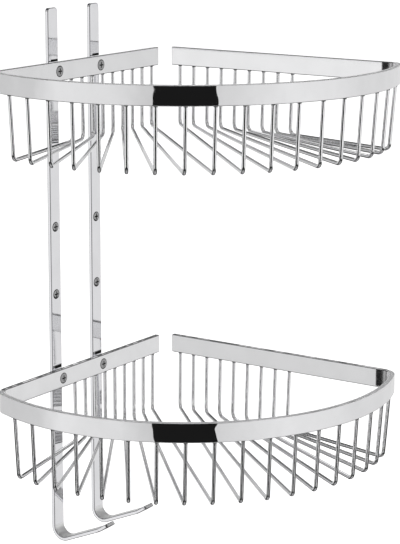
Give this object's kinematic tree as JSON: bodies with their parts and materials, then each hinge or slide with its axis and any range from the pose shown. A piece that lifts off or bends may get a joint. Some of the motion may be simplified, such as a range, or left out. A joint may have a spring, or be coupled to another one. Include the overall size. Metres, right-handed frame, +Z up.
{
  "type": "two-tier corner shower caddy",
  "caption": "Corner shower caddy: two flat wall bars that end in hooks carry two open wire baskets with curved flat-band rims.",
  "frame": {"origin": "middle of the four fixing holes of the two bars, on the wall plane that the bars' backs lie on", "axes": "+X away from that wall, +Y along it towards the corner of the room, +Z up"},
  "size_m": [0.2462, 0.2418, 0.426],
  "materials": {
    "chrome_bar": "mirror-polished chrome plate on flat bar",
    "chrome_band": "mirror-polished chrome plate on flat band",
    "chrome_wire": "mirror-polished chrome plate on round wire",
    "screw_steel": "bright stainless screw, satin in the recess",
    "spacer_steel": "turned stainless washer"
  },
  "bodies": {
    "root": {"front_bar": "chrome_bar", "rear_bar": "chrome_bar", "upper_band": "chrome_band", "lower_band": "chrome_band", "upper_wire_01": "chrome_wire", "upper_wire_02": "chrome_wire", "upper_wire_03": "chrome_wire", "upper_wire_04": "chrome_wire", "upper_wire_05": "chrome_wire", "upper_wire_06": "chrome_wire", "upper_wire_07": "chrome_wire", "upper_wire_08": "chrome_wire", "upper_wire_09": "chrome_wire", "upper_wire_10": "chrome_wire", "upper_wire_11": "chrome_wire", "upper_wire_12": "chrome_wire", "upper_wire_13": "chrome_wire", "upper_wire_14": "chrome_wire", "upper_wire_15": "chrome_wire", "upper_wire_16": "chrome_wire", "upper_wire_17": "chrome_wire", "upper_wire_18": "chrome_wire", "lower_wire_01": "chrome_wire", "lower_wire_02": "chrome_wire", "lower_wire_03": "chrome_wire", "lower_wire_04": "chrome_wire", "lower_wire_05": "chrome_wire", "lower_wire_06": "chrome_wire", "lower_wire_07": "chrome_wire", "lower_wire_08": "chrome_wire", "lower_wire_09": "chrome_wire", "lower_wire_10": "chrome_wire", "lower_wire_11": "chrome_wire", "lower_wire_12": "chrome_wire", "lower_wire_13": "chrome_wire", "lower_wire_14": "chrome_wire", "lower_wire_15": "chrome_wire", "lower_wire_16": "chrome_wire", "lower_wire_17": "chrome_wire", "lower_wire_18": "chrome_wire", "upper_front_basket_screw": "screw_steel", "upper_front_spacer": "spacer_steel", "upper_rear_basket_screw": "screw_steel", "upper_rear_spacer": "spacer_steel", "lower_front_basket_screw": "screw_steel", "lower_front_spacer": "spacer_steel", "lower_rear_basket_screw": "screw_steel", "lower_rear_spacer": "spacer_steel", "high_front_fixing_screw": "screw_steel", "high_rear_fixing_screw": "screw_steel", "low_front_fixing_screw": "screw_steel", "low_rear_fixing_screw": "screw_steel"}
  },
  "joints": []
}
